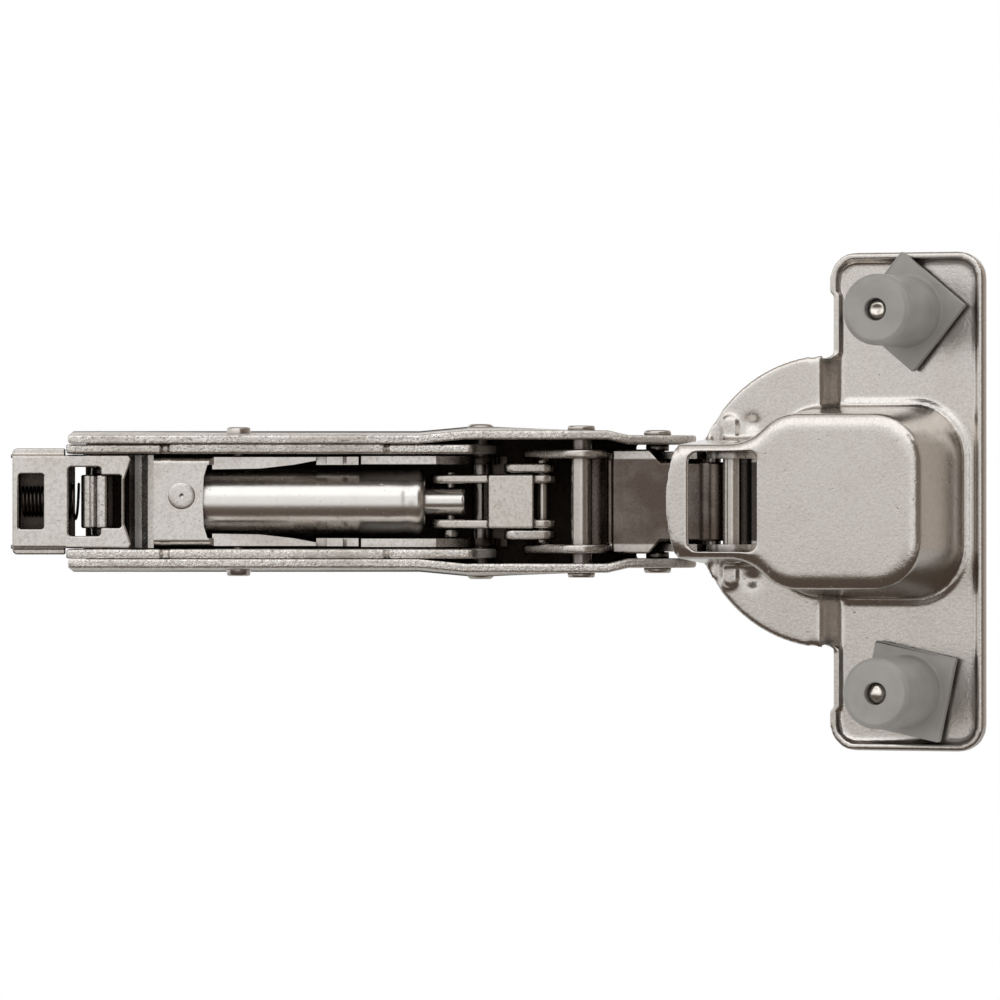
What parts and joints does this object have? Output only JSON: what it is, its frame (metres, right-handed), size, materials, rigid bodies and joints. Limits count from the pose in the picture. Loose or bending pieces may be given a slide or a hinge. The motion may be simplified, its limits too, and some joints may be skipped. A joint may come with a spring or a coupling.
{
  "type": "concealed cup hinge",
  "caption": "Concealed cabinet door hinge with a clip-on arm, built-in damper, crossed links and a pressed cup with press-in dowels, stored open.",
  "frame": {"origin": "centre of the 35 mm cup hole, on the door face against which the cup's flange lies, with the hinge open at 112 degrees", "axes": "+X along the arm from its rear end towards the cup, +Y from the arm's open side to its back, +Z along the link pins"},
  "size_m": [0.116, 0.0335, 0.0592],
  "materials": {
    "plated_sheet": "nickel-plated pressed steel, satin, with fine pits on cut edges",
    "plated_pin": "nickel-plated turned steel, bright",
    "polished_tube": "polished nickel-plated tube",
    "spring_wire": "dark drawn spring wire",
    "dowel_plastic": "satin mid-grey moulded plastic",
    "screw_steel": "bright plated screw steel"
  },
  "bodies": {
    "arm": {"arm_channel": "plated_sheet", "inner_channel": "plated_sheet", "channel_rivet_upper": "plated_pin", "channel_rivet_lower": "plated_pin", "spring_axle": "plated_pin", "closing_spring": "plated_sheet", "damper_cylinder": "polished_tube", "damper_cap": "polished_tube", "damper_bracket": "plated_sheet", "bracket_rivet": "plated_pin", "catch_pin": "plated_pin", "release_spring": "spring_wire", "rear_link_arm_pin": "plated_pin", "front_link_rivet_upper": "plated_pin", "front_link_rivet_lower": "plated_pin"},
    "rear_link": {"rear_link": "plated_sheet", "lever_pin": "plated_pin"},
    "cup": {"cup_body": "plated_sheet", "rear_link_cup_pin": "plated_pin", "front_link_cup_pin": "plated_pin", "dowel_upper": "dowel_plastic", "dowel_lower": "dowel_plastic", "dowel_screw_upper": "screw_steel", "dowel_screw_lower": "screw_steel"},
    "front_link": {"front_link": "plated_sheet"},
    "rod": {"piston_rod": "polished_tube", "damper_piston": "polished_tube", "rod_pin": "plated_pin"},
    "clevis": {"clevis": "plated_sheet"},
    "release_slide": {"release_slide": "plated_sheet"},
    "catch": {"catch_hook": "plated_sheet"}
  },
  "joints": [
    {"name": "rear_link_turn", "type": "hinge", "parent": "arm", "child": "rear_link", "pos_m": [-0.03, 0.007, 0], "axis": [0, 0, 1], "range_deg": [-45, 0]},
    {"name": "cup_turn", "type": "hinge", "parent": "rear_link", "child": "cup", "pos_m": [-0.01415, 0.00302, 0], "axis": [0, 0, 1], "range_deg": [0, 157.01]},
    {"name": "front_link_turn", "type": "hinge", "parent": "cup", "child": "front_link", "pos_m": [-0.01215, -0.0007, 0], "axis": [0, 0, 1], "range_deg": [-142.01, 0]},
    {"name": "rod_travel", "type": "slide", "parent": "arm", "child": "rod", "axis": [1, 0, 0], "range_m": [0, 0.00305]},
    {"name": "clevis_turn", "type": "hinge", "parent": "rod", "child": "clevis", "pos_m": [-0.0457, 0.01005, 0], "axis": [0, 0, 1], "range_deg": [0, 13.71]},
    {"name": "release_travel", "type": "slide", "parent": "arm", "child": "release_slide", "axis": [1, 0, 0], "range_m": [0, 0.0018], "stiffness_N_per_m": 600, "springref_m": -0.002, "deforming": ["release_spring"]},
    {"name": "catch_turn", "type": "hinge", "parent": "arm", "child": "catch", "pos_m": [-0.0876, 0.0082, 0], "axis": [0, 0, 1], "range_deg": [-8.01, 0]}
  ],
  "couplings": [
    {"joint": "cup_turn", "follows": "rear_link_turn", "ratio": -3.4889},
    {"joint": "front_link_turn", "follows": "rear_link_turn", "ratio": 3.1556},
    {"joint": "rod_travel", "follows": "rear_link_turn", "m_per_rad": -0.0038706},
    {"joint": "clevis_turn", "follows": "rear_link_turn", "ratio": -0.30444},
    {"joint": "catch_turn", "follows": "release_travel", "rad_per_m": -77.57}
  ]
}
